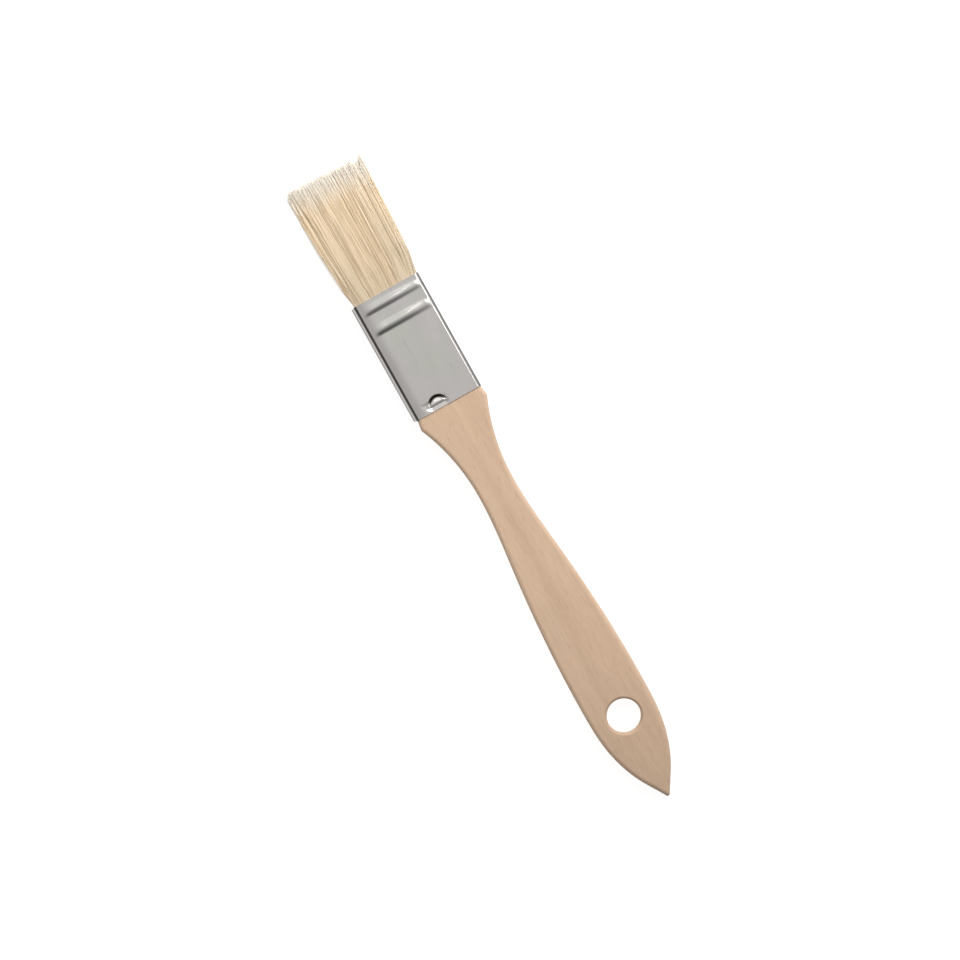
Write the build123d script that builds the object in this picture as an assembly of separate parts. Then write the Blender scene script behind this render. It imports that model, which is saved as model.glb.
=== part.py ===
from build123d import *
import math
import os

# A flat 25 mm paint brush that lies on its back face. X runs across the brush, Y runs along it with
# the bristles towards +Y, and Z runs up through its thickness. The origin is under the middle of the
# whole brush, on the surface that it lies on.

# Stretches along the brush
handle_length = 155.2  # bare wood, from the tip to the ferrule
ferrule_length = 44.8
bristle_out = 44.0  # free bristle beyond the ferrule's mouth

# Ferrule: one strip of tinned steel, folded round and locked by a seam along the left edge
ferrule_width = 25.4
ferrule_thickness = 8.0
ferrule_corner = 1.6
sheet = 0.35
seam_folds = 3  # thicknesses of sheet that stand proud in the seam
seam_width = 3.0
seam_setback = 0.4
seam_rounding = 0.35

# Beads rolled outwards across both faces of the ferrule
bead_height = 0.45
bead_width = 3.2
bead_from_seam_edge = 3.1
bead_from_plain_edge = 1.6
first_bead_from_mouth = 3.5
bead_spacing = 7.4
bead_count = 2

# Half-round tongues punched through both faces into the tang
punch_radius = 3.5
punch_from_edge = 1.45
punch_offset = -3.3
punch_depth = 1.2
punch_slit = 0.10
punch_clearance = 0.15

# Handle: a flat beech blank with a rounded outline and a tang that goes up the ferrule
nose_radius = 0.8
nose_half_angle = 30.0
cheek_width = 12.3  # the pointed end has this width ...
cheek_from_tip = 9.4  # ... at this distance from the tip
haunch_width = 20.6
haunch_from_tip = 20.3
belly_width = 24.1
belly_from_tip = 42.0
flank_width = 17.8
flank_from_ferrule = 60.4
waist_width = 13.6
waist_from_ferrule = 33.2
shoulder_overhang = 0.3  # how far the shoulder stands out past the ferrule's edge
shoulder_from_ferrule = 3.6
shoulder_rounding = 1.2
collar_inset = 0.25  # how far the wood is drawn in where it meets the ferrule
handle_edge_rounding = 1.4
tang_length = 24.0
tang_clearance = 0.10
tang_step = 0.05  # how far the handle's faces stand above the tang's

# Hanging hole
hole_radius = 6.0
hole_from_tip = 31.6
hole_edge_rounding = 1.0

# Resin setting, spacer and bristles
resin_length = 10.0
resin_gap = 0.05
root_embedding = 6.0
spacer_side_gap = 2.6
spacer_thickness = 2.0
spacer_short_of_mouth = 3.0
pack_gap = 0.25
pack_corner = 1.5
tuft_flare = 2.25  # how far each side of the tuft spreads by its free end
tuft_swell = 0.5  # how far each face of the tuft stands out halfway along
tuft_end_swell = 0.1
tuft_end_rounding = 0.8
flex_share = 0.15  # the bristles bend about a line this share of their free length from the mouth
flex_gap = 0.3

# Places worked out from the sizes above
overall_length = handle_length + ferrule_length + bristle_out
tip_y = -overall_length / 2
ferrule_y = tip_y + handle_length
mouth_y = ferrule_y + ferrule_length
tuft_end_y = mouth_y + bristle_out
middle_z = bead_height + ferrule_thickness / 2
face_z = middle_z + ferrule_thickness / 2
inner_width = ferrule_width - 2 * sheet
inner_thickness = ferrule_thickness - 2 * sheet
inner_corner = ferrule_corner - sheet
bead_length = ferrule_width - bead_from_seam_edge - bead_from_plain_edge
bead_offset = (bead_from_seam_edge - bead_from_plain_edge) / 2
tang_width = inner_width - 2 * tang_clearance
tang_thickness = inner_thickness - 2 * tang_clearance
handle_thickness = tang_thickness + 2 * tang_step
resin_y = ferrule_y + tang_length
root_y = resin_y + resin_length - root_embedding
pack_width = inner_width - 2 * pack_gap
pack_thickness = inner_thickness - 2 * pack_gap
flex_y = mouth_y + flex_share * bristle_out
middle = Plane.XY.offset(middle_z)


def across(y):
    """The plane across the brush at y, centred in its thickness and facing the bristles."""
    return Plane(origin=(0, y, middle_z), x_dir=(1, 0, 0), z_dir=(0, 1, 0))


def bar(width, thickness, corner, start, end):
    """A bar of rounded section that runs along the brush from start to end."""
    return extrude(across(start) * RectangleRounded(width, thickness, corner), end - start)


def both_faces(shape):
    """The shape on the front face, with its mirror image on the back face."""
    return shape + mirror(shape, about=middle)


def half_outline():
    """The right half of the bare handle's outline, from the tip to the ferrule."""
    nose = (0, tip_y)
    lean = math.radians(nose_half_angle)
    nose_end = (nose_radius * math.cos(lean), tip_y + nose_radius * (1 - math.sin(lean)))
    cheek = (cheek_width / 2, tip_y + cheek_from_tip)
    haunch = (haunch_width / 2, tip_y + haunch_from_tip)
    belly = (belly_width / 2, tip_y + belly_from_tip)
    flank = (flank_width / 2, ferrule_y - flank_from_ferrule)
    waist = (waist_width / 2, ferrule_y - waist_from_ferrule)
    shoulder = (ferrule_width / 2 + shoulder_overhang, ferrule_y - shoulder_from_ferrule)
    collar = (ferrule_width / 2 - collar_inset, ferrule_y)
    along = (0, 1)
    edges = [
        TangentArc(nose, nose_end, tangent=(1, 0)),
        Spline(nose_end, cheek, haunch, belly, tangents=[(math.sin(lean), math.cos(lean)), along]),
        Spline(belly, flank, waist, tangents=[along, along]),
        TangentArc(waist, shoulder, tangent=along),
        Line(shoulder, collar),
        Line(collar, (0, ferrule_y)),
        Line((0, ferrule_y), nose),
    ]
    return make_face(Curve() + edges)


def punch_disc(radius):
    """The half-round shape of a punched tongue, with its straight side along X through the origin."""
    return Circle(radius) & Pos(0, radius) * Rectangle(2 * radius, 2 * radius)


def punched(shape):
    """Puts a shape at the hinge line of the front tongue, tilted the way that the tongue is."""
    tilt = math.degrees(math.asin(punch_depth / punch_radius))
    return Pos(punch_offset, ferrule_y + punch_from_edge, face_z) * Rot(-tilt, 0, 0) * shape


def make_handle():
    right = half_outline()
    outline = right + mirror(right, about=Plane.YZ)
    blank = extrude(Pos(0, 0, middle_z - handle_thickness / 2) * outline, handle_thickness)
    corners = blank.edges().filter_by(Axis.Z).group_by(Axis.Y)[-2]
    blank = fillet(corners, shoulder_rounding)
    rims = (blank.faces().filter_by(Axis.Z)).edges() - blank.edges().filter_by(Axis.X)
    blank = fillet(rims, handle_edge_rounding)
    tang = bar(tang_width, tang_thickness, inner_corner, ferrule_y, ferrule_y + tang_length)
    hole = Pos(0, tip_y + hole_from_tip, middle_z) * Cylinder(hole_radius, 2 * handle_thickness)
    handle = blank + tang - hole
    rim = handle.edges().filter_by(GeomType.CIRCLE).filter_by(lambda e: abs(e.radius - hole_radius) < 1e-6)
    handle = fillet(rim, hole_edge_rounding)
    pocket = extrude(punch_disc(punch_radius + punch_slit + punch_clearance), ferrule_thickness / 2)
    pocket = Pos(0, -punch_clearance, -sheet - punch_clearance) * pocket
    return handle - both_faces(punched(pocket))


def capsule(radius):
    """A round-ended bar along X, as long between its ends' centres as a bead is."""
    straight = bead_length - bead_width
    ends = Pos(straight / 2, 0) * Sphere(radius) + Pos(-straight / 2, 0) * Sphere(radius)
    return Rot(0, 90, 0) * Cylinder(radius, straight) + ends


def bead_row(radius, outer_radius):
    """Capsules under both beads of both faces. A bead's outer skin has outer_radius."""
    depth = face_z + bead_height - outer_radius
    lines = [mouth_y - first_bead_from_mouth - i * bead_spacing for i in range(bead_count)]
    return both_faces(Sketch() + [Pos(bead_offset, y, depth) * capsule(radius) for y in lines])


def make_ferrule():
    outer_radius = (bead_height**2 + (bead_width / 2) ** 2) / (2 * bead_height)
    tube = bar(ferrule_width, ferrule_thickness, ferrule_corner, ferrule_y, mouth_y)
    seam_height = seam_folds * sheet
    seam = Box(2 * seam_height, ferrule_length - 2 * seam_setback, seam_width)
    seam = fillet(seam.edges().filter_by(Axis.Y), seam_rounding)
    seam = Pos(-ferrule_width / 2, (ferrule_y + mouth_y) / 2, middle_z) * seam
    hollow = bar(inner_width, inner_thickness, inner_corner, ferrule_y - 1, mouth_y + 1)
    slit = extrude(punch_disc(punch_radius + punch_slit), 2 * sheet, both=True)
    slit = Pos(punch_offset, ferrule_y + punch_from_edge, face_z) * slit
    tongue = punched(extrude(punch_disc(punch_radius), -sheet))
    shell = tube + seam + bead_row(outer_radius, outer_radius) - hollow
    shell = shell - bead_row(outer_radius - sheet, outer_radius)
    return shell - both_faces(slit) + both_faces(tongue)


def make_spacer():
    width = pack_width - 2 * spacer_side_gap
    return bar(width, spacer_thickness, spacer_thickness / 4, root_y, mouth_y - spacer_short_of_mouth)


def make_packs(spacer):
    """The fixed ends of the bristles, in front of the spacer and behind it, hollowed for the free tuft."""
    whole = bar(pack_width, pack_thickness, pack_corner, root_y, flex_y)
    socket_radius = pack_thickness / 2 + flex_gap
    socket = Pos(0, flex_y, middle_z) * Rot(0, 90, 0) * Cylinder(socket_radius, 2 * pack_width)
    whole = whole - socket - spacer
    front, back = split(whole, bisect_by=middle, keep=Keep.BOTH).solids().sort_by(Axis.Z)[::-1]
    return front, back


def make_resin(spacer, packs):
    block = bar(
        inner_width - 2 * resin_gap,
        inner_thickness - 2 * resin_gap,
        inner_corner,
        resin_y,
        resin_y + resin_length,
    )
    return block - spacer - packs[0] - packs[1]


def make_tuft():
    """The free part of the bristles, round where it meets its fixed ends so that it can turn there."""
    stations = [
        (flex_y, 0, 0),
        ((flex_y + tuft_end_y) / 2, tuft_flare / 2, tuft_swell),
        (tuft_end_y, tuft_flare, tuft_end_swell),
    ]
    sections = [
        across(y) * RectangleRounded(pack_width + 2 * flare, pack_thickness + 2 * swell, pack_corner)
        for y, flare, swell in stations
    ]
    free = loft(sections, ruled=True)
    free = fillet(free.faces().sort_by(Axis.Y)[-1].edges(), tuft_end_rounding)
    heel = bar(pack_width, pack_thickness, pack_corner, flex_y - pack_thickness / 2, flex_y)
    round_end = Pos(0, flex_y, middle_z) * Rot(0, 90, 0) * Cylinder(pack_thickness / 2, 2 * pack_width)
    return free + (heel & round_end)


spacer = make_spacer()
packs = make_packs(spacer)
parts = {
    "handle": make_handle(),
    "ferrule": make_ferrule(),
    "spacer_plug": spacer,
    "resin_setting": make_resin(spacer, packs),
    "front_bristle_roots": packs[0],
    "back_bristle_roots": packs[1],
    "bristle_tuft": make_tuft(),
}

os.makedirs("parts", exist_ok=True)
for name, shape in parts.items():
    shape.label = name
    export_step(shape, f"parts/{name}.step")
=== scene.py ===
import math

import bpy
import numpy as np
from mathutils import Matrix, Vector


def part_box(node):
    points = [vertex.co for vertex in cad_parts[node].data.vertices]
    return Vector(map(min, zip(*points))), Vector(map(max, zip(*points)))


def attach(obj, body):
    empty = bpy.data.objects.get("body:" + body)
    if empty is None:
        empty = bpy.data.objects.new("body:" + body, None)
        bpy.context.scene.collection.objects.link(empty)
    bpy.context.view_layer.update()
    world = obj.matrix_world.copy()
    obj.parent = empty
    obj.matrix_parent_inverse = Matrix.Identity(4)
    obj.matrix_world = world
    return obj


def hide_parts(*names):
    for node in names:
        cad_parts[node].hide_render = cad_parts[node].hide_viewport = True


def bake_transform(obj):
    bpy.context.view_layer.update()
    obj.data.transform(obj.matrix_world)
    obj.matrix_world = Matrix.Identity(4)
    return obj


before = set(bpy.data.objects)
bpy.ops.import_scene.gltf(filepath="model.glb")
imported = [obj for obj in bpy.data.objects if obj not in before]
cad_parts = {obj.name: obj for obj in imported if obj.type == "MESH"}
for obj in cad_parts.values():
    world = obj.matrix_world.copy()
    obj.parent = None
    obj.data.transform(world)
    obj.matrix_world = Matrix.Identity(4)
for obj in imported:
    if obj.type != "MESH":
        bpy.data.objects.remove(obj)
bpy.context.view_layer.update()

mm = 0.001

# ------------------------------------------------------------------ Camera
# It looks straight down on the brush from 1.2 m with a 130 mm lens. The brush lies at a slant below it,
# bristles to the upper left, so the camera is turned about its own axis.
slant = math.radians(29.25)
camera_place = (-3.6 * mm, 4.9 * mm, 1203.7 * mm)
camera_data = bpy.data.cameras.new("camera")
camera_data.lens = 130
camera_data.sensor_width = 36
camera_data.clip_start = 0.01
camera = bpy.data.objects.new("camera", camera_data)
camera.location = camera_place
camera.rotation_euler = (0, 0, -slant)
bpy.context.scene.collection.objects.link(camera)
bpy.context.scene.camera = camera
bpy.context.scene.view_settings.view_transform = "Standard"


# ------------------------------------------------------------------ Studio
# A white table that is lit from below as well, one soft light over the bristle end, and a room that is
# bright on that side and dimmer on the other. The bright ferrule mirrors the room.
class Finish:
    """A material while it is mixed: its shader, and the nodes that feed it."""

    def __init__(self, name):
        self.material = bpy.data.materials.new(name)
        self.material.use_nodes = True
        self.nodes = self.material.node_tree.nodes
        self.join = self.material.node_tree.links.new
        self.shader = self.nodes["Principled BSDF"]
        self.place = self.nodes.new("ShaderNodeTexCoord").outputs["Object"]

    def set(self, **values):
        """Sets the shader's own sockets to plain values: base_color=..., roughness=..."""
        for key, value in values.items():
            self.shader.inputs[key.replace("_", " ").title().replace("Ior", "IOR")].default_value = value

    def feed(self, socket, value):
        self.join(value, self.shader.inputs[socket])

    def add(self, kind, inputs=None, **settings):
        """A new node. An input is given a plain value, or the output of another node."""
        node = self.nodes.new(kind)
        for key, value in settings.items():
            setattr(node, key, value)
        for socket, value in (inputs or {}).items():
            if isinstance(value, bpy.types.NodeSocket):
                self.join(value, node.inputs[socket])
            else:
                node.inputs[socket].default_value = value
        return node

    def streaks(self, stretch, scale, detail=4.0, roughness=0.55, distortion=0.0):
        """A noise that is drawn out by stretch, its scale along X, Y and Z. Scale is waves a metre."""
        laid = self.add("ShaderNodeMapping", {"Vector": self.place, "Scale": stretch})
        values = {"Scale": scale, "Detail": detail, "Roughness": roughness, "Distortion": distortion}
        noise = self.add("ShaderNodeTexNoise", {"Vector": laid.outputs["Vector"], **values})
        return noise.outputs["Fac"]

    def ramp(self, value, *stops):
        """A colour ramp on value. Each stop is a place, and a colour or a grey."""
        node = self.add("ShaderNodeValToRGB", {"Fac": value})
        elements = node.color_ramp.elements
        while len(elements) < len(stops):
            elements.new(0.5)
        for element, (at, colour) in zip(elements, stops):
            element.position = at
            element.color = (*colour, 1) if isinstance(colour, tuple) else (colour, colour, colour, 1)
        return node.outputs["Color"]

    def mix(self, factor, a, b, blend="MIX"):
        """Two colours mixed. A plain one is given as a tuple of three."""
        node = self.add("ShaderNodeMix", data_type="RGBA", blend_type=blend)
        for socket, value in {"Factor": factor, "A": a, "B": b}.items():
            target = [s for s in node.inputs if s.name == socket and s.enabled][0]
            value = (*value, 1) if isinstance(value, tuple) else value
            if isinstance(value, bpy.types.NodeSocket):
                self.join(value, target)
            else:
                target.default_value = value
        return [s for s in node.outputs if s.enabled][0]

    def spread(self, value, low, high, to_low, to_high):
        """Value moved from the range low to high into another range."""
        ranges = {"From Min": low, "From Max": high, "To Min": to_low, "To Max": to_high}
        return self.add("ShaderNodeMapRange", {"Value": value, **ranges}).outputs["Result"]

    def bump(self, height, depth, strength=1.0):
        """Feeds the shader a bump of the given depth, in metres."""
        values = {"Height": height, "Distance": depth, "Strength": strength}
        self.feed("Normal", self.add("ShaderNodeBump", values).outputs["Normal"])


def clear_selection():
    if bpy.context.object and bpy.context.object.mode != "OBJECT":
        bpy.ops.object.mode_set(mode="OBJECT")
    bpy.ops.object.select_all(action="DESELECT")


table_size = 24  # metres, so that its far edge never shows behind the brush
clear_selection()
bpy.ops.mesh.primitive_plane_add(size=table_size, location=(0, 0, 0))
table = bpy.context.object
table.name = "table_top"
white_table = Finish("white_table")
white_table.set(base_color=(0.22, 0.22, 0.22, 1), roughness=0.9, specular_ior_level=0.1)
white_table.set(emission_color=(1, 1, 1, 1), emission_strength=0.91)
table.data.materials.append(white_table.material)

light_way = Vector((0.52, 0.46, 0.72)).normalized()
light_distance = 0.55
light_data = bpy.data.lights.new("soft_light", "AREA")
light_data.shape = "SQUARE"
light_data.size = 0.4
light_data.energy = 2.32
light_data.color = (1.0, 0.985, 0.96)
soft_light = bpy.data.objects.new("soft_light", light_data)
soft_light.location = light_way * light_distance
soft_light.rotation_euler = (-light_way).to_track_quat("-Z", "Y").to_euler()
bpy.context.scene.collection.objects.link(soft_light)

room = bpy.data.worlds.new("room")
bpy.context.scene.world = room
room.use_nodes = True
room_nodes = room.node_tree.nodes
room_join = room.node_tree.links.new
way = room_nodes.new("ShaderNodeTexCoord")
towards_light = room_nodes.new("ShaderNodeVectorMath")
towards_light.operation = "DOT_PRODUCT"
towards_light.inputs[1].default_value = Vector((0.38, 0.58, 0.72)).normalized()
fall = room_nodes.new("ShaderNodeMapRange")
fall.interpolation_type = "SMOOTHSTEP"
fall.inputs["From Min"].default_value = 0.35
fall.inputs["From Max"].default_value = 0.95
tint = room_nodes.new("ShaderNodeMix")
tint.data_type = "RGBA"
dark_side, bright_side = [s for s in tint.inputs if s.type == "RGBA"]
bright_side.default_value = (1.04, 1.03, 1.01, 1)
upwards = room_nodes.new("ShaderNodeSeparateXYZ")
walls = room_nodes.new("ShaderNodeMapRange")  # the walls get paler towards the floor
walls.inputs["From Max"].default_value = 0.72
walls.inputs["To Min"].default_value = 0.95
walls.inputs["To Max"].default_value = 0.38
room_join(way.outputs["Generated"], upwards.inputs["Vector"])
room_join(upwards.outputs["Z"], walls.inputs["Value"])
# Matt surfaces get little light from the walls, so that their far edges fall into shade.
matt = room_nodes.new("ShaderNodeLightPath")
shaded = room_nodes.new("ShaderNodeMapRange")
shaded.inputs["To Max"].default_value = 0.10
room_join(matt.outputs["Is Diffuse Ray"], shaded.inputs["Value"])
room_join(walls.outputs["Result"], shaded.inputs["To Min"])
room_join(shaded.outputs["Result"], dark_side)
room_join(way.outputs["Generated"], towards_light.inputs[0])
room_join(towards_light.outputs["Value"], fall.inputs["Value"])
room_join(fall.outputs["Result"], tint.inputs["Factor"])
room_join([s for s in tint.outputs if s.type == "RGBA"][0], room_nodes["Background"].inputs["Color"])

# ------------------------------------------------------------------ Handle
# One flat blank of bare, sanded beech with a hanging hole. The CAD node is the real shape, so it only
# gets its wood: fine long pores, short reddish ray flecks and faint growth bands, and no varnish.
beech = Finish("bare_beech")
bands = beech.ramp(
    beech.streaks((1.0, 0.05, 1.0), 170, detail=2.0, distortion=0.4),
    (0.30, (0.632, 0.446, 0.312)),
    (0.52, (0.676, 0.483, 0.342)),
    (0.75, (0.701, 0.507, 0.363)),
)
pore_lines = beech.streaks((1.0, 0.045, 1.0), 2600, detail=3.0, roughness=0.7)
pore_tone = 0.74
pores = beech.ramp(pore_lines, (0.30, pore_tone), (0.52, 1.0))
fleck_lines = beech.streaks((1.0, 0.22, 1.0), 1100, detail=1.0, roughness=0.4)
flecks = beech.ramp(fleck_lines, (0.66, 0.0), (0.76, 0.22))
patches = beech.ramp(beech.streaks((1.0, 0.4, 1.0), 45, detail=2.0), (0.35, 0.96), (0.65, 1.02))
wood = beech.mix(0.5, bands, pores, "MULTIPLY")
wood = beech.mix(1.0, wood, patches, "MULTIPLY")
wood = beech.mix(flecks, wood, (0.40, 0.235, 0.145))
# Painted shade: the wood is a little darker towards its tip, where the light falls off.
handle_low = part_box("handle")[0]
tip_shade_length = 60 * mm
painted_tip_shade = beech.add("ShaderNodeSeparateXYZ", {"Vector": beech.place}).outputs["Y"]
painted_tip_shade = beech.spread(painted_tip_shade, handle_low.y, handle_low.y + tip_shade_length, 0, 1)
wood = beech.mix(1.0, wood, beech.ramp(painted_tip_shade, (0.0, 0.86), (0.9, 1.0)), "MULTIPLY")
beech.feed("Base Color", wood)
beech.feed("Roughness", beech.spread(pores, pore_tone, 1.0, 0.74, 0.60))
beech.set(specular_ior_level=0.3)
beech.bump(pores, 0.02 * mm)
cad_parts["handle"].material_slots[0].material = beech.material

# ------------------------------------------------------------------ Ferrule
# One strip of tinned steel. It is folded round the handle's tang and hooked into a lock seam along the
# left edge, two beads are rolled out across each face, and a tongue is punched into the wood on each.
ferrule_low, ferrule_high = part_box("ferrule")
sheet = 0.35 * mm
bead_height = 0.45 * mm
corner_radius = 1.5 * mm
seam_corner = 1.1 * mm
middle_z = (ferrule_low.z + ferrule_high.z) / 2
tube_width = 2 * ferrule_high.x
tube_thickness = ferrule_high.z - ferrule_low.z - 2 * bead_height
bend_radius = corner_radius - sheet / 2  # radii are those of the middle of the sheet
seam_bend = seam_corner - sheet / 2
fold_radius = sheet
hook_top = 0.55 * mm  # where the inner hook turns back, from the middle of the thickness
hook_end = 1.30 * mm
outer_hook_bottom = 1.60 * mm
outer_hook_end = 0.30 * mm
jog_turn = math.radians(92)
jog_run = (3 * sheet - 2 * fold_radius * (1 - math.cos(jog_turn))) / math.sin(jog_turn)
jog_drop = 2 * fold_radius * math.sin(jog_turn) + jog_run * math.cos(jog_turn)
wall_x = -tube_width / 2 + sheet / 2
flat_width = tube_width - corner_radius - seam_corner
left = 1
right = -1

# The strip's section as it is folded: ("run", length) or ("bend", radius, turn), from the inner hook's
# free edge, round the tube, to the outer hook's free edge.
folds = [
    ("run", hook_end + hook_top),
    ("bend", fold_radius, right * math.pi),
    ("run", hook_top + tube_thickness / 2 - seam_corner),
    ("bend", seam_bend, left * math.pi / 2),
    ("run", flat_width),
    ("bend", bend_radius, left * math.pi / 2),
    ("run", tube_thickness - 2 * corner_radius),
    ("bend", bend_radius, left * math.pi / 2),
    ("run", flat_width),
    ("bend", seam_bend, left * math.pi / 2),
    ("bend", fold_radius, right * jog_turn),
    ("run", jog_run),
    ("bend", fold_radius, left * jog_turn),
    ("run", tube_thickness / 2 - seam_corner - jog_drop + outer_hook_bottom),
    ("bend", fold_radius, left * math.pi),
    ("run", outer_hook_bottom + outer_hook_end),
]


def fold_section(at, heading, folds, pitch, turn_step):
    """Points of a section that starts at a point with a heading and follows the folds."""
    points = [at]
    for kind, *sizes in folds:
        if kind == "run":
            count = max(1, round(sizes[0] / pitch))
            step, turn = sizes[0] / count, 0.0
        else:
            count = max(3, round(abs(sizes[1]) / turn_step))
            turn = sizes[1] / count
            step = 2 * sizes[0] * math.sin(abs(turn) / 2)
        for _ in range(count):
            heading += turn / 2
            at = (at[0] + step * math.cos(heading), at[1] + step * math.sin(heading))
            heading += turn / 2
            points.append(at)
    return points


free_edge = (wall_x - 2 * sheet, middle_z - hook_end)
section = np.array(fold_section(free_edge, math.pi / 2, folds, 0.4 * mm, math.radians(9)))
rows = 150
clear_selection()
bpy.ops.mesh.primitive_grid_add(x_subdivisions=len(section) - 1, y_subdivisions=rows, size=1)
ferrule = bpy.context.object
ferrule.name = "ferrule_sheet"


def smooth(value, start, end):
    t = np.clip((value - start) / (end - start), 0, 1)
    return t * t * (3 - 2 * t)


def bead(x, y, centre, reach):
    """How far a rolled bead lifts the sheet. Reach is how far it falls off towards the handle."""
    far_reach = 2.2 * mm  # towards the bristles
    left_end = (2.2 * mm, 5.6 * mm)  # from the tube's edge, where it starts and where it is full
    right_end = (2.7 * mm, 0.8 * mm)
    lean = 0.9  # its left end is slanted
    fade = 0.45  # how much lower it gets on the right
    across = np.where(y < centre, (centre - y) / reach, (y - centre) / far_reach)
    slanted = x - lean * (y - centre)
    ends = smooth(slanted, -tube_width / 2 + left_end[0], -tube_width / 2 + left_end[1])
    ends = ends * (1 - smooth(x, tube_width / 2 - right_end[0], tube_width / 2 - right_end[1]))
    ends = ends * (1 - fade * smooth(x, -1 * mm, tube_width / 2 - 2.5 * mm))
    return bead_height * np.cos(np.clip(across, 0, 1) * math.pi / 2) ** 2 * ends


def ripple(x, y):
    """The faint unevenness of thin sheet that was folded by machine, and how it falls to the seam."""
    wide_depth, fine_depth, seam_fall = 0.008 * mm, 0.004 * mm, 0.13 * mm
    wide = np.sin(x / (4.1 * mm) + 0.7) * np.sin(y / (6.3 * mm) + 1.9)
    fine = np.sin(y / (2.7 * mm) + x / (7.0 * mm))
    by_seam = 1 - smooth(x, -tube_width / 2 + 1.2 * mm, -tube_width / 2 + 4.6 * mm)
    return wide_depth * wide + fine_depth * fine - seam_fall * by_seam


punch_x = -3.3 * mm
punch_y = ferrule_low.y + 1.45 * mm
punch_radius = 3.5 * mm
punch_gap = 0.08 * mm
bead_spacing = 7.4 * mm
first_bead = ferrule_high.y - 3.5 * mm
second_bead = first_bead - bead_spacing


def dent(x, y):
    """How deep the punch drove the sheet round it: down to a trough at the hinge, and up a little."""
    s = (y - ferrule_low.y) / mm
    slanted = x + 0.8 * (y - punch_y)
    across = smooth(slanted, punch_x - 5.0 * mm, punch_x - 2.8 * mm)
    across = across * (1 - smooth(x, punch_x + 2.4 * mm, punch_x + 4.1 * mm))
    depth = 0.42 * smooth(s, -0.2, 1.5) - 0.26 * smooth(s, 1.5, 2.3) + 0.32 * smooth(s, 2.2, 4.2)
    return depth * across * mm


def tongue_depth(x, y):
    """The tongue follows the dent and dives into the wood round its rim, as deep as its pocket."""
    rim_dive = 0.90 * mm
    pocket_start, pocket_slope = 0.12 * mm, 0.315
    out = np.hypot(x - punch_x, y - punch_y) / punch_radius
    dive = rim_dive * smooth(out, 0.70, 1.0)
    pocket = pocket_start + pocket_slope * (y - punch_y)
    return np.minimum(dent(x, y) + dive, np.maximum(dent(x, y), pocket))


x, y = np.meshgrid(section[:, 0], np.linspace(ferrule_low.y, ferrule_high.y, rows + 1))
z = np.tile(section[:, 1], (rows + 1, 1))
on_face = smooth(np.abs(z - middle_z), tube_thickness / 2 - 1.2 * mm, tube_thickness / 2 - 0.4 * mm)
around_punch = 1 - smooth(y, ferrule_low.y + 1.8 * mm, ferrule_low.y + 4.2 * mm)
lift = bead(x, y, first_bead, 1.8 * mm) + bead(x, y, second_bead, 2.2 * mm)
lift = lift + ripple(x, y) - dent(x, y) * around_punch
z = z + np.sign(z - middle_z) * lift * on_face
# The seam's ends are filed back from the tube's, by a small share of its length.
filed_share = 0.016
filed = 1 - filed_share * smooth(-x, tube_width / 2 + 0.05 * mm, tube_width / 2 + 0.6 * mm)
ferrule_middle = (ferrule_low.y + ferrule_high.y) / 2
y = ferrule_middle + (y - ferrule_middle) * filed
ferrule.data.vertices.foreach_set("co", np.stack([x, y, z], -1).astype(np.float32).ravel())
ferrule.data.update()


def use_modifier(piece, kind, **values):
    """Adds a modifier to a piece and applies it."""
    bpy.context.view_layer.objects.active = piece
    added = piece.modifiers.new(kind.lower(), kind)
    for key, value in values.items():
        setattr(added, key, value)
    bpy.ops.object.modifier_apply(modifier=added.name)


def face_outwards(piece):
    clear_selection()
    piece.select_set(True)
    bpy.context.view_layer.objects.active = piece
    bpy.ops.object.mode_set(mode="EDIT")
    bpy.ops.mesh.select_all(action="SELECT")
    bpy.ops.mesh.remove_doubles(threshold=0.001 * mm)
    bpy.ops.mesh.normals_make_consistent(inside=False)
    bpy.ops.object.mode_set(mode="OBJECT")


use_modifier(ferrule, "SOLIDIFY", thickness=sheet, offset=0, use_even_offset=True)
face_outwards(ferrule)
tongues = []
for side in (1, -1):
    clear_selection()
    bpy.ops.mesh.primitive_cylinder_add(
        vertices=96,
        radius=punch_radius + punch_gap,
        depth=3 * mm,
        location=(punch_x, punch_y, middle_z + side * tube_thickness / 2),
    )
    punch = bpy.context.object
    bpy.ops.object.transform_apply(location=True)
    bpy.ops.object.mode_set(mode="EDIT")
    bpy.ops.mesh.select_all(action="SELECT")
    bpy.ops.mesh.bisect(plane_co=(0, punch_y, 0), plane_no=(0, -1, 0), use_fill=True, clear_outer=True)
    bpy.ops.object.mode_set(mode="OBJECT")
    use_modifier(ferrule, "BOOLEAN", object=punch, operation="DIFFERENCE", solver="EXACT")
    bpy.data.objects.remove(punch)

    # The tongue is a half disc that bends down from its straight edge.
    clear_selection()
    bpy.ops.mesh.primitive_grid_add(x_subdivisions=48, y_subdivisions=24, size=1)
    tongue = bpy.context.object
    corners = np.array([vertex.co for vertex in tongue.data.vertices])
    u = corners[:, 0] * 2
    tongue_x = punch_x + u * punch_radius
    tongue_y = punch_y + (corners[:, 1] + 0.5) * np.sqrt(np.clip(1 - u * u, 0.0004, 1)) * punch_radius
    tongue_z = middle_z + side * (tube_thickness / 2 - sheet / 2 - tongue_depth(tongue_x, tongue_y))
    places = np.stack([tongue_x, tongue_y, tongue_z], -1)
    tongue.data.vertices.foreach_set("co", places.astype(np.float32).ravel())
    use_modifier(tongue, "SOLIDIFY", thickness=sheet, offset=0, use_even_offset=True)
    face_outwards(tongue)
    tongues.append(tongue)

clear_selection()
for piece in tongues + [ferrule]:
    piece.select_set(True)
bpy.context.view_layer.objects.active = ferrule
bpy.ops.object.join()
bpy.ops.object.shade_smooth_by_angle(angle=math.radians(35))

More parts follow.
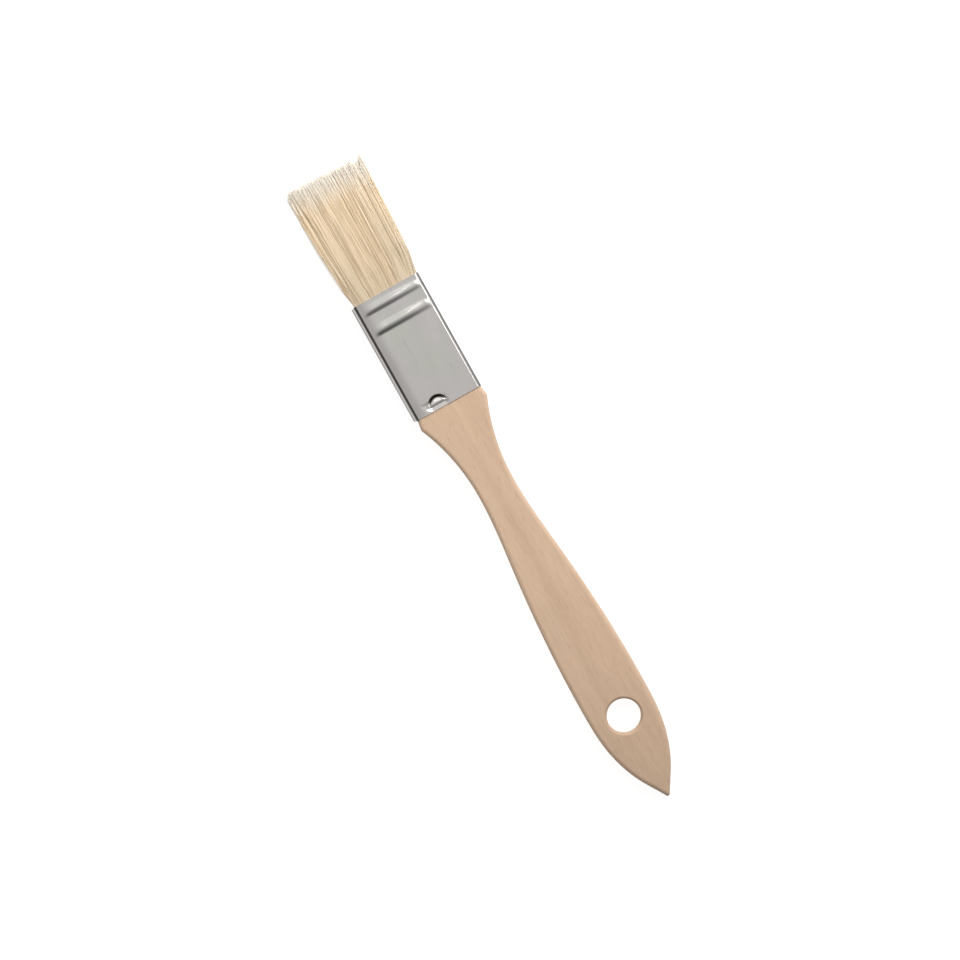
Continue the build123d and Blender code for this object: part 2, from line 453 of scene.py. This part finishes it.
steel = Finish("tinned_steel")
steel.set(metallic=1.0)
smudges = steel.streaks((1.0, 0.7, 1.0), 180, detail=5.0, roughness=0.6)
tin = steel.ramp(smudges, (0.30, (0.542, 0.526, 0.512)), (0.70, (0.572, 0.551, 0.545)))
casts = steel.ramp(
    steel.streaks((1.0, 0.8, 1.0), 55, detail=1.0),
    (0.35, (0.965, 1.0, 0.955)),
    (0.50, (1.0, 1.0, 1.0)),
    (0.68, (1.0, 0.98, 0.975)),
)
tin = steel.mix(1.0, tin, casts, "MULTIPLY")
spot = steel.add("ShaderNodeSeparateXYZ", {"Vector": steel.place})


def at_x(x):
    """A place across the ferrule, in millimetres, as a share of its width."""
    return (x * mm - ferrule_low.x) / (ferrule_high.x - ferrule_low.x)


def at_y(y):
    """A place along the ferrule, in metres, as a share of its length."""
    return (y - ferrule_low.y) / (ferrule_high.y - ferrule_low.y)


# Painted shade in the groove beside the seam and over the far corners, where the metal mirrors dark, and
# a painted highlight on the seam's shelf.
across = steel.spread(spot.outputs["X"], ferrule_low.x, ferrule_high.x, 0, 1)
painted_edge_shade_and_highlight = steel.ramp(
    across,
    (at_x(-13.30), 1.0),
    (at_x(-12.82), 1.55),
    (at_x(-12.60), 0.28),
    (at_x(-12.45), 0.10),
    (at_x(-12.05), 0.09),
    (at_x(-11.85), 0.62),
    (at_x(-11.60), 0.82),
    (at_x(-10.90), 0.80),
    (at_x(-9.00), 1.0),
    (at_x(11.10), 1.0),
    (at_x(11.45), 0.62),
    (at_x(11.75), 0.60),
    (at_x(12.00), 0.85),
    (at_x(12.20), 0.50),
    (at_x(12.45), 0.20),
)

# The painted shade and highlight are kept off the side walls.
height = steel.add("ShaderNodeMath", {0: spot.outputs["Z"], 1: middle_z}, operation="SUBTRACT")
height = steel.add("ShaderNodeMath", {0: height.outputs["Value"]}, operation="ABSOLUTE").outputs["Value"]
in_corner = steel.spread(height, 2.2 * mm, 2.9 * mm, 0, 1)
painted_edge_shade_and_highlight = steel.mix(in_corner, (1, 1, 1), painted_edge_shade_and_highlight)

# Painted shade along the handle side of each bead, where its lower flank mirrors the dark side of the
# room, and it thins out to the right.
along = steel.spread(spot.outputs["Y"], ferrule_low.y, ferrule_high.y, 0, 1)
painted_bead_shade = steel.ramp(
    along,
    (at_y(second_bead - 2.30 * mm), 0.0),
    (at_y(second_bead - 1.55 * mm), 0.72),
    (at_y(second_bead - 1.15 * mm), 0.66),
    (at_y(second_bead - 0.50 * mm), 0.0),
    (at_y(first_bead - 1.95 * mm), 0.0),
    (at_y(first_bead - 1.30 * mm), 0.52),
    (at_y(first_bead - 0.90 * mm), 0.50),
    (at_y(first_bead - 0.35 * mm), 0.0),
)
bead_shade_fade = steel.ramp(
    across,
    (at_x(-10.6), 0.0),
    (at_x(-9.0), 1.0),
    (at_x(-2.0), 0.80),
    (at_x(7.0), 0.45),
    (at_x(11.0), 0.2),
)
painted_bead_shade = steel.mix(1.0, painted_bead_shade, bead_shade_fade, "MULTIPLY")
painted_bead_shade = steel.mix(1.0, painted_bead_shade, in_corner, "MULTIPLY")

# A painted shadow in a crescent round the tongue, where the punch drove the sheet into the wood, and a
# painted highlight on the tongue itself.
from_punch = steel.add("ShaderNodeMapping", {"Vector": steel.place, "Location": (-punch_x, -punch_y, 0)})
crescent_shadow_reach = 5 * mm
flat = {0: from_punch.outputs["Vector"], 1: (1, 1, 0)}
flat = steel.add("ShaderNodeVectorMath", flat, operation="MULTIPLY").outputs["Vector"]
far = steel.add("ShaderNodeVectorMath", {0: flat}, operation="LENGTH").outputs["Value"]
far = steel.spread(far, 0, crescent_shadow_reach, 0, 1)
ring = steel.ramp(far, (0.42, 0.0), (0.52, 0.82), (0.71, 0.90), (0.77, 0.0))
slanted = steel.add("ShaderNodeVectorMath", {0: steel.place, 1: (0.17, 1, 0)}, operation="DOT_PRODUCT")
beyond = steel.spread(slanted.outputs["Value"], punch_y + 0.5 * mm, punch_y + 1.1 * mm, 0, 1)
painted_crescent_shadow = steel.mix(1.0, ring, beyond, "MULTIPLY")
inside = steel.ramp(far, (0.38, 1.0), (0.44, 0.0))
painted_tongue_highlight = steel.mix(1.0, inside, beyond, "MULTIPLY")

# Fine scuffs from use run every way, most of them along the brush.
scuffs = steel.streaks((1.0, 0.12, 1.0), 900, detail=2.0, distortion=0.8)
scuffs = steel.ramp(scuffs, (0.66, 0.0), (0.74, 0.16))
# The tin gets the painted edge shade and highlight, black as painted shade by the beads, a dark painted
# shadow round the tongue and a pale painted highlight on it; the scuffs are real wear.
metal = steel.mix(1.0, tin, painted_edge_shade_and_highlight, "MULTIPLY")
metal = steel.mix(painted_bead_shade, metal, (0.0, 0.0, 0.0))
metal = steel.mix(painted_crescent_shadow, metal, (0.04, 0.035, 0.03))
metal = steel.mix(painted_tongue_highlight, metal, (0.88, 0.86, 0.83))
steel.feed("Base Color", steel.mix(scuffs, metal, (0.25, 0.24, 0.22)))
steel.feed("Roughness", steel.spread(smudges, 0.35, 0.68, 0.12, 0.20))
rolling = steel.streaks((1.0, 0.02, 1.0), 3800, detail=2.0)
steel.bump(rolling, 0.001 * mm)
ferrule.data.materials.clear()
ferrule.data.materials.append(steel.material)
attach(ferrule, "handle_and_ferrule")
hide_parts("ferrule")

# ------------------------------------------------------------------ Setting and spacer
# Inside the ferrule the hairs' roots stand in hardened amber resin, on both sides of a thin strip of
# poplar. Neither shows from outside.
resin = Finish("amber_resin")
cloud = resin.streaks((1.0, 1.0, 1.0), 400, detail=3.0)
resin.feed("Base Color", resin.ramp(cloud, (0.3, (0.30, 0.17, 0.05)), (0.7, (0.46, 0.29, 0.11))))
resin.set(roughness=0.25)
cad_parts["resin_setting"].material_slots[0].material = resin.material

poplar = Finish("poplar_strip")
fibres = poplar.streaks((1.0, 0.05, 1.0), 1500, detail=3.0)
poplar.feed("Base Color", poplar.ramp(fibres, (0.3, (0.60, 0.46, 0.30)), (0.7, (0.72, 0.58, 0.40))))
poplar.set(roughness=0.7)
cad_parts["spacer_plug"].material_slots[0].material = poplar.material

# ------------------------------------------------------------------ Bristles
# Several thousand natural hairs in a front and a back row, set in the resin and cut to a nearly square
# end. Each tapers to a fine, pale tip. These are thicker and fewer than real ones, and three-sided.
hairs_in_row = 3100
hair_radius = 0.100 * mm
hair_cuts = 6
lock_size = 1.3 * mm
setting_depth = 7 * mm
row_gap = 0.03 * mm  # from the middle to either row
mouth_y = ferrule_high.y
root_y = mouth_y - setting_depth
root_half_width = 12.2 * mm
root_half_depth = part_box("front_bristle_roots")[1].z - middle_z
tip_half_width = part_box("bristle_tuft")[1].x
end_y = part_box("bristle_tuft")[1].y

clear_selection()
bpy.ops.mesh.primitive_cylinder_add(vertices=3, radius=1, depth=1, location=(0, 0, 0.5))
bpy.ops.object.transform_apply(location=True)
hair = bpy.context.object
bpy.ops.object.mode_set(mode="EDIT")
bpy.ops.mesh.select_mode(type="EDGE")
bpy.ops.mesh.select_all(action="DESELECT")
bpy.ops.object.mode_set(mode="OBJECT")
for edge in hair.data.edges:
    heights = [hair.data.vertices[i].co.z for i in edge.vertices]
    edge.select = abs(heights[0] - heights[1]) > 0.5
bpy.ops.object.mode_set(mode="EDIT")
bpy.ops.mesh.subdivide(number_cuts=hair_cuts)
bpy.ops.object.mode_set(mode="OBJECT")
hair_points = np.array([vertex.co for vertex in hair.data.vertices])
hair_faces = [np.array(face.vertices)[::-1] for face in hair.data.polygons]
flat_side = -math.atan2(hair_points[0, 1], hair_points[0, 0])
hair_angles = np.arctan2(hair_points[:, 1], hair_points[:, 0]) + flat_side
hair_edges = np.round(hair_angles / (2 * math.pi / 3)).astype(int) % 3
bpy.data.objects.remove(hair)

bristle = Finish("natural_bristle")
tone = bristle.add("ShaderNodeAttribute", attribute_name="hair_tone").outputs["Fac"]
reach = bristle.add("ShaderNodeAttribute", attribute_name="hair_reach").outputs["Fac"]
hair_colour = bristle.ramp(
    tone,
    (0.00, (0.50, 0.34, 0.19)),
    (0.25, (0.89, 0.69, 0.45)),
    (0.60, (0.97, 0.80, 0.58)),
    (1.00, (0.99, 0.89, 0.72)),
)
# Painted shade: the hairs are darker by the ferrule's mouth and lighter out towards their tips.
painted_mouth_shade = bristle.ramp(reach, (0.14, 0.81), (0.45, 0.94), (0.80, 0.97))
hair_colour = bristle.mix(1.0, hair_colour, painted_mouth_shade, "MULTIPLY")
paleness = bristle.ramp(reach, (0.80, 0.0), (1.0, 1.0))
bristle.feed("Base Color", bristle.mix(paleness, hair_colour, (0.99, 0.94, 0.86)))
bristle.set(roughness=0.45, specular_ior_level=0.35)


def cell_layout(face):
    """Where a face lies in its hair's own cell of the texture map: sides as strips, ends on top."""
    edges, along = hair_edges[face], hair_points[face, 2]
    if len(face) == 3:
        end = 0.12 if along[0] < 0.5 else 0.58
        return [(end + 0.15 * edge, 0.92 + 0.04 * (edge % 2)) for edge in edges]
    first = 2 if set(edges) == {0, 2} else min(edges)
    strip = [(first + (0.12 if edge == first else 0.88)) / 3 for edge in edges]
    return list(zip(strip, 0.04 + 0.82 * along))


def seeded_spots(random, count, half_width, low, high):
    """Evenly spread root places in a bar's section, each a little off a regular grid."""
    spacing = math.sqrt(2 * half_width * (high - low) / count)
    columns = round(2 * half_width / spacing)
    layers = math.ceil(count / columns)
    x, z = np.meshgrid(np.linspace(-1, 1, columns) * half_width, np.linspace(low, high, layers))
    x = (x + random.uniform(-0.45, 0.45, x.shape) * spacing).ravel()[:count]
    z = (z + random.uniform(-0.45, 0.45, z.shape) * spacing).ravel()[:count]
    return np.clip(x, -half_width, half_width), np.clip(z, low, high)


def locks(random, x, z, size):
    """The hairs cling together in locks: how far each is from its lock's middle, and three traits."""
    column = np.floor(x / size + 0.35 * np.sin(z / size * 2.1)).astype(int)
    key = column * 1000 + np.floor(z / size).astype(int)
    lean = np.zeros((len(x), 2))
    traits = np.zeros((len(x), 3))
    for cell in sorted(set(key.tolist())):
        inside = key == cell
        lean[inside, 0] = x[inside].mean() - x[inside]
        lean[inside, 1] = z[inside].mean() - z[inside]
        traits[inside] = random.normal(0, 1, 3)
    return lean, traits


def make_row(name, seed, low, high):
    """One row of hairs. Their roots lie between the two depths, measured from the middle."""
    random = np.random.default_rng(seed)
    x0, z0 = seeded_spots(random, hairs_in_row, root_half_width, low, high)
    count = len(x0)
    spread = x0 / root_half_width
    depth = z0 / root_half_depth
    x1 = spread * (tip_half_width + 0.1 * mm)
    lean, traits = locks(random, x1, z0, lock_size)
    cling = 0.10 + 0.06 * traits[:, 0]
    tip_x = x1 + lean[:, 0] * cling + random.normal(0, 0.30, count) * mm
    tip_z = z0 + lean[:, 1] * cling + random.normal(0, 0.16, count) * mm

    # The cut end runs a little aslant, is bevelled at the left and has one small notch at the right,
    # beyond which it is shorter, but for a spur of long hairs at its corner.
    rise, bevel, rounding, notch, step, spur = np.array([0.75, 2.2, 0.4, 1.6, 0.9, 1.6]) * mm
    length = end_y + rise - rise * spread
    length = length - bevel * np.clip((-spread - 0.90) / 0.10, 0, 1) - rounding * np.abs(depth) ** 4
    length = length - notch * np.exp(-(((spread - 0.82) / 0.04) ** 2)) - step * (spread > 0.86)
    length = length + spur * (spread > 0.975) + 0.28 * mm * traits[:, 1]
    length = length + 0.42 * mm * np.clip(random.normal(0, 1, count), -2.5, 2.0)

    t = hair_points[:, 2]
    out = np.clip((root_y + (end_y - root_y) * t - mouth_y) / (end_y - mouth_y), 0, 1)
    arch = np.sin(math.pi * out)
    bow = random.normal(0, 0.24, (count, 2)) * mm
    bow[random.random(count) < 0.012] *= 3
    wave_start = random.uniform(0, 2 * math.pi, count)
    wave = np.sin(3 * math.pi * out + wave_start[:, None]) * 0.05 * mm * out
    bulge = 0.75 * mm * spread[:, None] * smooth(out, 0, 0.07) * (1 - out)
    line_x = x1[:, None] * out + x0[:, None] * (1 - out) + (tip_x - x1)[:, None] * out**2.2
    line_x = line_x + bow[:, :1] * arch + wave + bulge
    line_x = line_x + 0.25 * mm * smooth(out, 0, 0.05)
    line_z = z0[:, None] + (tip_z - z0)[:, None] * out**2.2
    line_z = line_z + bow[:, 1:] * 0.2 * arch - wave * 0.4 + 0.42 * mm * depth[:, None] * arch
    line_y = root_y + (length - root_y)[:, None] * t

    # Each hair turns a flat side outwards, give or take, so that the tuft catches the light as one.
    outwards = np.arctan2(depth**5, spread**9)
    turn = (outwards + math.pi + flat_side + random.normal(0, 0.3, count))[:, None]
    size = hair_radius * random.uniform(0.8, 1.15, count)[:, None]
    thin = np.interp(t, (0, 0.86, 1), (1.0, 0.96, 0.60))
    side_x, side_z = hair_points[:, 0] * thin, hair_points[:, 1] * thin
    line_x = line_x + size * (side_x * np.cos(turn) - side_z * np.sin(turn))
    line_z = line_z + size * (side_x * np.sin(turn) + side_z * np.cos(turn))
    points = np.stack([line_x, line_y, middle_z + line_z], -1).reshape(-1, 3)
    faces = [(face + i * len(t)).tolist() for i in range(count) for face in hair_faces]
    mesh = bpy.data.meshes.new(name)
    mesh.from_pydata(points.tolist(), [], faces)

    # The hairs in the middle are a little warmer than those at the sides, and a few are brown.
    warmth = np.exp(-(((spread - 0.1) / 0.55) ** 2))
    tones = 0.64 + 0.085 * random.normal(0, 1, count) + 0.02 * traits[:, 2] - 0.13 * warmth
    tones = np.where(random.random(count) < 0.006 + 0.02 * warmth, 0.08, np.clip(tones, 0.15, 1))
    for label, values in (("hair_tone", np.repeat(tones, len(t))), ("hair_reach", np.tile(t, count))):
        mesh.attributes.new(label, "FLOAT", "POINT").data.foreach_set("value", values.astype(np.float32))
    layout = np.array([place for face in hair_faces for place in cell_layout(face)])
    cells = math.ceil(math.sqrt(count))
    corner = np.stack(np.divmod(np.arange(count), cells)[::-1], -1)
    layout = (corner[:, None, :] + layout[None]) / cells
    mesh.uv_layers.new(name="OFBake").data.foreach_set("uv", layout.astype(np.float32).ravel())
    row = bpy.data.objects.new(name, mesh)
    bpy.context.scene.collection.objects.link(row)
    mesh.materials.append(bristle.material)
    return row


front = make_row("front_bristles", 11, row_gap, root_half_depth)
back = make_row("back_bristles", 12, -root_half_depth, -row_gap)
for row, root in ((front, "front_bristle_roots"), (back, "back_bristle_roots")):
    clear_selection()
    row.select_set(True)
    bpy.context.view_layer.objects.active = row
    bpy.ops.object.shade_flat()
    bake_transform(row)
    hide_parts(root, "bristle_tuft")
